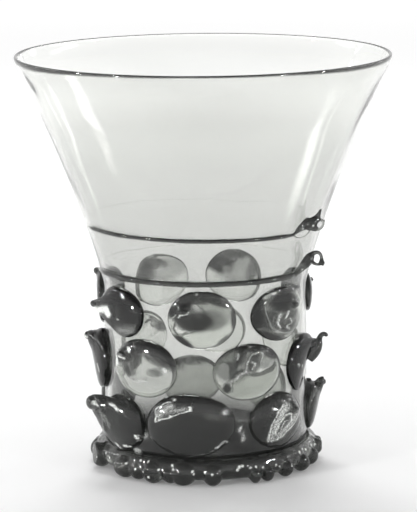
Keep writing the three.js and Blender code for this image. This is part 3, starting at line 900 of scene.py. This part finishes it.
# angle, then in millimetres: out from the axis, height, half-width, reach and half-height of each knob
knobs = [
    (3.2, 37.9, 4.1, 3.5, 3.8, 4.1), (25.6, 38.8, 3.1, 2, 2.8, 3), (33, 38.6, 3.2, 2.5, 3, 3.1),
    (45.4, 38.4, 3.5, 2.7, 3.1, 3.3), (59.6, 38.4, 3.4, 3.1, 3.2, 3.3), (72, 38.4, 3.7, 2.9, 3.2, 3.4),
    (84, 38.7, 4.8, 2.4, 2.9, 3.1), (93, 39.8, 5.4, 1.5, 1.7, 1.7), (106, 38.2, 3.6, 3.6, 3.4, 3.5),
    (122, 38.4, 3.5, 3.9, 3.2, 3.4), (137, 38.1, 3.5, 3.5, 3.4, 3.4), (151, 38.5, 3.5, 3.3, 3.1, 3.4),
    (167, 38.2, 3.5, 4.3, 3.4, 3.4), (184, 38.4, 3.5, 3.7, 3.2, 3.4), (199, 38.1, 3.5, 3.3, 3.4, 3.4),
    (214, 38.4, 3.5, 4.1, 3.2, 3.4), (230, 38.2, 3.5, 3.5, 3.4, 3.4), (246, 38.4, 3.5, 3.7, 3.2, 3.4),
    (260, 38, 3.8, 3.3, 3.4, 3.5), (270, 38, 4.3, 3.3, 3.6, 4), (287, 38.9, 5.1, 4.4, 4, 4.9),
    (311.5, 38, 4.1, 4.6, 3.7, 4.1), (321, 37.6, 3.7, 3.4, 3.2, 3.4), (331, 38, 4.1, 4, 3.7, 4.1),
    (340.5, 37.2, 3.8, 3.4, 3, 3.4), (347.8, 37.9, 4.2, 4.7, 3.8, 4.2),
]


def footPasses(point):
    middle, spread, end = foot["clearAt"]
    away = turnFrom(math.degrees(angleOf(point)), middle) / spread
    low, over = foot["clearAbove"]
    isAbove = smoothStep((point.z - low) / over)
    return mix(foot["passes"], foot["clearPasses"], smoothStep(end - away) * isAbove)


# painted highlights: white dots on the foot's knobs
def footGlints(point):
    paintedLight, radius = 0, math.hypot(point.x, point.y)
    if radius < foot["radius"]:
        return paintedLight
    for angle, height, size in foot["glints"]:
        across = math.remainder(angleOf(point) - math.radians(angle), 2 * math.pi) * radius
        away = math.hypot(across, point.z - height * mm) / (size * mm)
        paintedLight = max(paintedLight, foot["footGlintStrength"] * bulge(away))
    return paintedLight


def buildFoot():
    bm = bmesh.new()
    addRing(bm, foot["sides"], foot["turns"])
    for vert in bm.verts:
        across = math.hypot(vert.co.x, vert.co.y) - ringRadius
        radius = foot["radius"] + across * foot["wide"]
        vert.co = onWall(angleOf(vert.co), radius, foot["height"] + vert.co.z * foot["tall"])
    for angle, out, height, wide, reach, tall in knobs:
        turn = Matrix.Rotation(math.radians(angle), 4, "Z")
        place = Matrix.Translation((0, -out * mm, height * mm))
        size = Matrix.Diagonal((wide * mm, reach * mm, tall * mm, 1))
        matrix = turn @ place @ size
        bmesh.ops.create_icosphere(bm, subdivisions=foot["knobDetail"], radius=1, matrix=matrix)
    bm = meltTogether(bm, foot["voxel"])
    heelCentre = Vector((kickRadius, heelTop))
    least = vessel["heelRadius"] - foot["sink"]
    outermost = footHigh.x
    for vert in bm.verts:
        angle, radius, height = angleOf(vert.co), math.hypot(vert.co.x, vert.co.y), vert.co.z
        calm = smoothStep(height / foot["still"]) * smoothStep((radius - foot["radius"]) / foot["still"])
        lump = foot["lump"] * wavering(vert.co, foot["lumpScale"], foot["lumpSeed"]) * calm
        radius, height = radius + lump, height + foot["lumpRise"] * lump
        fromHeel = Vector((radius, height)) - heelCentre
        if height < heelTop and fromHeel.length < least:
            radius, height = heelCentre + fromHeel.normalized() * least
        elif height >= heelTop:
            radius = max(radius, stemRadius - foot["sink"])
        vert.co = onWall(angle, min(radius, outermost), min(footHigh.z, max(0, height)))
    keepMesh("pinchedFoot", bm, "foot_ring", "footGlass", footPasses, footGlints)


buildFoot()
print("foot pinched")

# The scar of the pontil iron under the kick
scar = {
    "firstShare": 0.12, "lastShare": 0.3, "wall": 1.3 * mm, "sink": 0.5 * mm,
    "turns": 120, "sides": 14,
    "chip": 0.5 * mm, "chipScale": 1.6 * mm, "chipSeed": 2,  # its underside is rough
    "passes": 0.6,
}


def buildScar():
    bm = bmesh.new()
    addRing(bm, scar["sides"], scar["turns"])
    for vert in bm.verts:
        across, upwards = math.hypot(vert.co.x, vert.co.y) - ringRadius, vert.co.z
        share = mix(scar["firstShare"], scar["lastShare"], (across + 1) / 2)
        height = kickHeight(share) + mix(-scar["wall"], scar["sink"], (upwards + 1) / 2)
        place = onWall(angleOf(vert.co), share * kickRadius, height)
        if upwards < 0:
            place.z -= scar["chip"] * upwards * wavering(place, scar["chipScale"], scar["chipSeed"])
        vert.co = place
    keepMesh("pontilScar", bm, "pontil_mark", "scarGlass", lambda point: scar["passes"])


buildScar()
print("pontil scar left")

# Trails round the root of the bowl, wound between the angles from and to. starts: the angle where
# one begins to show, and over how much. tilt: half of how much higher it lies at the left.
# A tail is a list of strands, and a strand a list of (angle, out from the wall, height, radius),
# in millimetres but for the angle. So are its dark spots and its white specks, painted highlights, with
# their size last.
trails = {
    "lowerTrail": {
        "node": "lower_thread", "level": lowerTrailHeight, "tilt": 0, "radius": lowerTrailRadius,
        "from": 92, "to": 417, "starts": (-86, 24), "standOff": 0.35 * mm, "passes": 0.07,
        "strands": [
            [(55, 0.4, 71, 1), (58, 0.7, 72, 1.1), (60, 1.2, 73.4, 1.5), (61.5, 1.9, 75, 1.9),
             (62, 2.3, 76.6, 1.85), (62, 2.7, 77.8, 1.1)],
            [(62, 2.6, 77.6, 1), (62, 3.6, 78.6, 0.75), (62, 4.9, 78.8, 0.65), (62, 6.2, 77.9, 0.6),
             (62, 6.8, 76.6, 0.6), (62, 7.2, 75.4, 0.9)],
            [(62, 7.2, 75.5, 1.1), (61.8, 7.4, 74.9, 1.2), (61.6, 7.2, 74.6, 1)],
            [(62, 7, 74.7, 0.6), (62, 6, 74.1, 0.55), (62, 4.9, 74.3, 0.55), (62, 3.4, 75.2, 0.7)],
        ],
        "tailFrom": 57, "tailPasses": 0.2, "darkAt": (61.6, 2, 76, 2.8), "darkToo": (62, 7.3, 75, 1.6),
        "glintSpecks": [(61, 3.3, 76.4, 0.6), (61, 3.8, 74.6, 0.35), (58, 1.8, 72.6, 0.4)],
    },
    "upperTrail": {
        "node": "upper_thread", "level": upperTrailHeight, "tilt": 0.5 * mm, "radius": upperTrailRadius,
        "from": 86, "to": 406, "starts": (-75, 13), "standOff": 0.25 * mm, "passes": 0.04,
        "strands": [
            [(45, 0.2, 86.4, 0.6), (47, 0.8, 87.3, 0.4), (49, 1.1, 88.6, 0.9), (50.5, 1.5, 89.6, 1.9),
             (52, 2.2, 90.3, 2.4), (53, 3.2, 91, 2), (54, 3.8, 92.2, 1.1), (54, 3.8, 94, 0.55),
             (54, 4, 95.2, 0.4)],
            [(51.5, 2.4, 89, 1.3), (53, 3.7, 88.6, 1.1), (54, 4.7, 89.2, 0.9)],
            [(52.5, 3, 88.6, 0.9), (53, 4, 87.8, 0.5), (54, 5.2, 87.7, 0.5), (54, 6.4, 88.5, 0.5),
             (54, 7, 90, 0.5), (54, 6.3, 91.4, 0.5), (54, 5.2, 91.6, 0.5), (53.5, 4, 91, 0.6)],
            [(46, 0.3, 86.6, 0.3), (46.5, 0.5, 88.6, 0.25), (48, 0.9, 90.5, 0.25), (50, 1.5, 91.8, 0.3),
             (52, 2.4, 92, 0.5)],
            [(46, 0.4, 86.2, 0.25), (47.5, 0.9, 85.2, 0.2), (50.5, 1.5, 84.9, 0.2), (53, 2.2, 85.9, 0.2),
             (53, 2.6, 87.6, 0.4)],
        ],
        "tailFrom": 47.5, "tailPasses": 0.5, "darkAt": (52, 2.6, 90.6, 3.4), "darkToo": (54, 4, 94.4, 1.6),
        "glintSpecks": [
            (49, 3.3, 90.2, 0.45), (51, 4.7, 89.6, 0.5), (50.5, 4.4, 88.2, 0.5), (52, 5.3, 90.8, 0.35),
            (48.6, 2, 88.6, 0.35), (53, 5.6, 88.2, 0.35),
        ],
    },
}
# what both share
winding = {
    "voxel": 0.2 * mm,
    "steps": 150,
    "ends": (100, 25),  # the angle where a trail is gone on the other side, and over how much
    "backShare": 0.1,  # they are hair-thin behind
    "waver": 0.25 * mm, "waverScale": 0.5, "waverSeed": 6,  # up and down
    "swell": 0.12, "swellScale": 0.22, "swellSeed": 9,  # in thickness
    "endSteps": 3, "endShare": 0.6,  # over how many steps an end thins, and to what
    "tailFading": 2, "tailTo": 80,  # over which angle the tail's tone sets in, and where there is no tail
    "darkPasses": 0.03,
    "darkEdge": (1.25, 0.4),  # where a dark spot ends and how soft that is
    # how white the painted highlight specks are
    "speckGlintStrength": 1.3,
}


def shownShare(angle, trail):
    # 1 in front, 0 at the back
    turn = math.degrees(angle)
    start, over = trail["starts"]
    end, fading = winding["ends"]
    return smoothStep((turn - start) / over) * smoothStep((end - turn) / fading)


def buildTrail(name, trail):
    bm = bmesh.new()

    def onTrail(angle):
        waver = wavering(onWall(angle, 1, 0), winding["waverScale"], winding["waverSeed"])
        level = trail["level"] + trail["tilt"] * (1 - math.sin(angle)) + winding["waver"] * waver
        return onWall(angle, wallRadius(level) + trail["standOff"], level)

    def onTail(angle, out, height):
        return onWall(math.radians(angle), wallRadius(height * mm) + out * mm, height * mm)

    points, radii = [], []
    for step in range(winding["steps"] + 1):
        angle = math.radians(mix(trail["from"], trail["to"], step / winding["steps"]))
        points.append(onTrail(angle))
        swell = wavering(onWall(angle, 1, 0), winding["swellScale"], winding["swellSeed"])
        ending = smoothStep(min(step, winding["steps"] - step) / winding["endSteps"])
        thick = (1 + winding["swell"] * swell) * mix(winding["endShare"], 1, ending)
        radii.append(trail["radius"] * thick)
    addTube(bm, points, radii)
    for strand in trail["strands"]:
        addTube(bm, [onTail(*place) for *place, thick in strand], [thick * mm for *place, thick in strand])
    bm = meltTogether(bm, winding["voxel"])
    for vert in bm.verts:
        angle = angleOf(vert.co)
        middle = onTrail(angle)
        vert.co = middle + (vert.co - middle) * mix(winding["backShare"], 1, shownShare(angle, trail))

    def trailPasses(point):
        angle = angleOf(point)
        turn, shown = math.degrees(angle), shownShare(angle, trail)
        inTail = 0
        if turn <= winding["tailTo"]:
            inTail = smoothStep((turn - trail["tailFrom"]) / winding["tailFading"]) * shown
        tail = trail["tailPasses"]
        end, fading = winding["darkEdge"]
        for *place, size in (trail["darkAt"], trail["darkToo"]):
            away = (point - onTail(*place)).length / (size * mm)
            tail = mix(tail, winding["darkPasses"], smoothStep((end - away) / fading))
        return mix(mix(1, trail["passes"], shown), tail, inTail)

    # painted highlights: white specks in the tail
    def trailGlints(point):
        spots = [(point - onTail(*place)).length / (size * mm) for *place, size in trail["glintSpecks"]]
        return winding["speckGlintStrength"] * bulge(min(spots))

    keepMesh(name, bm, trail["node"], "trailGlass", trailPasses, trailGlints)


for name, trail in trails.items():
    buildTrail(name, trail)
print("trails wound")

# Table, light and camera
studio = {
    "floorSize": 12, "floorColor": (0.8, 0.8, 0.8),
    "glow": (0.12, 0.6), "glowOver": (0.7, 1.9),  # the far floor shows as a white backdrop
    "skyLevel": 0.54,  # light on the floor from all sides
    "sky": (1, 0.3), "skyOver": (0.34, 0.72),  # what the glass shows, by the sine of the elevation
    "windowEdge": (0.2, 1),  # where a window starts to fade and where it ends, in shares of its spread
    "bounces": 32, "mirrorBounces": 8,
}
# soft windows that only the glass shows: towards, spread along X, Y and Z, strength
windows = [
    ((0.92, 0.24, 0.36), (1, 0.27, 0.048), 6),
    ((-0.93, 0.25, 0.285), (1, 0.2, 0.08), 7),
    ((0.68, 0.72, 0.14), (1, 0.07, 0.09), 4),
    ((-0.83, 0.5, 0.2), (1, 0.05, 0.09), 4),
]


def vectorNode(nodes, links, operation, first, second=(0, 0, 0)):
    node = nodes.new("ShaderNodeVectorMath")
    node.operation = operation
    links.new(first, node.inputs[0])
    node.inputs[1].default_value = second
    return node.outputs["Value"] if operation == "LENGTH" else node.outputs["Vector"]


def buildFloor():
    bpy.ops.mesh.primitive_plane_add(size=studio["floorSize"])
    floor = bpy.context.object
    floor.name = "floor"
    material = bpy.data.materials.new("floorPaper")
    material.use_nodes = True
    nodes, links = material.node_tree.nodes, material.node_tree.links
    shader = nodes["Principled BSDF"]
    shader.inputs["Base Color"].default_value = (*studio["floorColor"], 1)
    shader.inputs["Roughness"].default_value = 1
    shader.inputs["Specular IOR Level"].default_value = 0
    shader.inputs["Emission Color"].default_value = (1, 1, 1, 1)
    path = nodes.new("ShaderNodeLightPath").outputs
    seen = mathNode(nodes, links, "MAXIMUM", path["Is Glossy Ray"], path["Is Transmission Ray"])
    seen = mathNode(nodes, links, "MAXIMUM", path["Is Camera Ray"], seen)
    away = vectorNode(nodes, links, "LENGTH", nodes.new("ShaderNodeTexCoord").outputs["Object"])
    glow = rangeNode(nodes, links, away, studio["glowOver"], studio["glow"], "SMOOTHSTEP")
    glow = mathNode(nodes, links, "MULTIPLY", seen, glow)
    links.new(glow, shader.inputs["Emission Strength"])
    floor.data.materials.append(material)


def buildSky():
    world = bpy.data.worlds.new("studio")
    bpy.context.scene.world = world
    world.use_nodes = True
    nodes, links = world.node_tree.nodes, world.node_tree.links
    place = nodes.new("ShaderNodeTexCoord").outputs["Generated"]
    parts = nodes.new("ShaderNodeSeparateXYZ")
    links.new(place, parts.inputs[0])
    shown = rangeNode(nodes, links, parts.outputs["Z"], studio["skyOver"], studio["sky"], "SMOOTHSTEP")
    for towards, spread, strength in windows:
        away = vectorNode(nodes, links, "SUBTRACT", place, towards)
        away = vectorNode(nodes, links, "DIVIDE", away, spread)
        away = vectorNode(nodes, links, "LENGTH", away)
        window = rangeNode(nodes, links, away, studio["windowEdge"], (strength, 0), "SMOOTHSTEP")
        shown = mathNode(nodes, links, "ADD", shown, window)
    path = nodes.new("ShaderNodeLightPath").outputs
    inGlass = mathNode(nodes, links, "MAXIMUM", path["Is Glossy Ray"], path["Is Transmission Ray"])
    level = mixNode(nodes, links, "FLOAT", inGlass, studio["skyLevel"], shown)
    white = mathNode(nodes, links, "MAXIMUM", level, path["Is Camera Ray"])
    links.new(white, nodes["Background"].inputs["Strength"])
    nodes["Background"].inputs["Color"].default_value = (1, 1, 1, 1)


smallLamp = (0.05, 0.05)
# position, size, power, whether the glass mirrors it and whether it lights surfaces;
# all look at the middle of the glass
lamps = {
    "backWindow": ((-0.06, 0.75, 0.95), (0.5, 0.3), 8.6, False, True),
    "backRight": ((0.75, 0.75, 0.6), smallLamp, 0.8, False, True),
    "backLeft": ((-0.85, 0.6, 0.55), smallLamp, 0.8, False, True),
    "lowLeft": ((-0.75, -0.6, 0.12), smallLamp, 5, True, True),
    "lowRight": ((0.7, -0.65, 0.14), smallLamp, 2.2, True, True),
    "sideLeft": ((-0.98, -0.2, 0.36), smallLamp, 4, True, False),
    "sideRight": ((0.98, -0.25, 0.4), smallLamp, 4, True, False),
}


def buildLamps():
    middle = Vector((0, 0, rimHeight / 2))
    for name, (place, (width, height), power, isMirrored, isLighting) in lamps.items():
        light = bpy.data.lights.new(name, "AREA")
        light.shape = "RECTANGLE"
        light.size, light.size_y = width, height
        light.energy = power
        lamp = bpy.data.objects.new(name, light)
        lamp.location = place
        lamp.visible_camera = False
        lamp.visible_glossy = isMirrored
        lamp.visible_diffuse = isLighting
        lamp.visible_transmission = not isMirrored
        lamp.rotation_euler = (middle - Vector(place)).to_track_quat("-Z", "Y").to_euler()
        bpy.context.scene.collection.objects.link(lamp)


# its angles are in degrees
view = {
    "place": (0, -0.9256, 0.2519), "pitch": 79.1, "turn": -0.084, "roll": -0.5,
    "lens": 187.2, "sensor": 36, "clip": (0.05, 50),
}


def buildCamera():
    data = bpy.data.cameras.new("camera")
    data.lens = view["lens"]
    data.sensor_width = view["sensor"]
    data.clip_start, data.clip_end = view["clip"]
    camera = bpy.data.objects.new("camera", data)
    camera.location = view["place"]
    pitch = Quaternion((1, 0, 0), math.radians(view["pitch"]))
    turn = Quaternion((0, 0, 1), math.radians(view["turn"]))
    roll = Quaternion((0, 0, 1), math.radians(view["roll"]))
    camera.rotation_mode = "QUATERNION"
    camera.rotation_quaternion = turn @ pitch @ roll
    bpy.context.scene.collection.objects.link(camera)
    bpy.context.scene.camera = camera


buildFloor()
buildSky()
buildLamps()
buildCamera()
scene = bpy.context.scene
scene.view_settings.view_transform = "Standard"
scene.cycles.max_bounces = studio["bounces"]
scene.cycles.transmission_bounces = studio["bounces"]
scene.cycles.glossy_bounces = studio["mirrorBounces"]
print("studio ready")
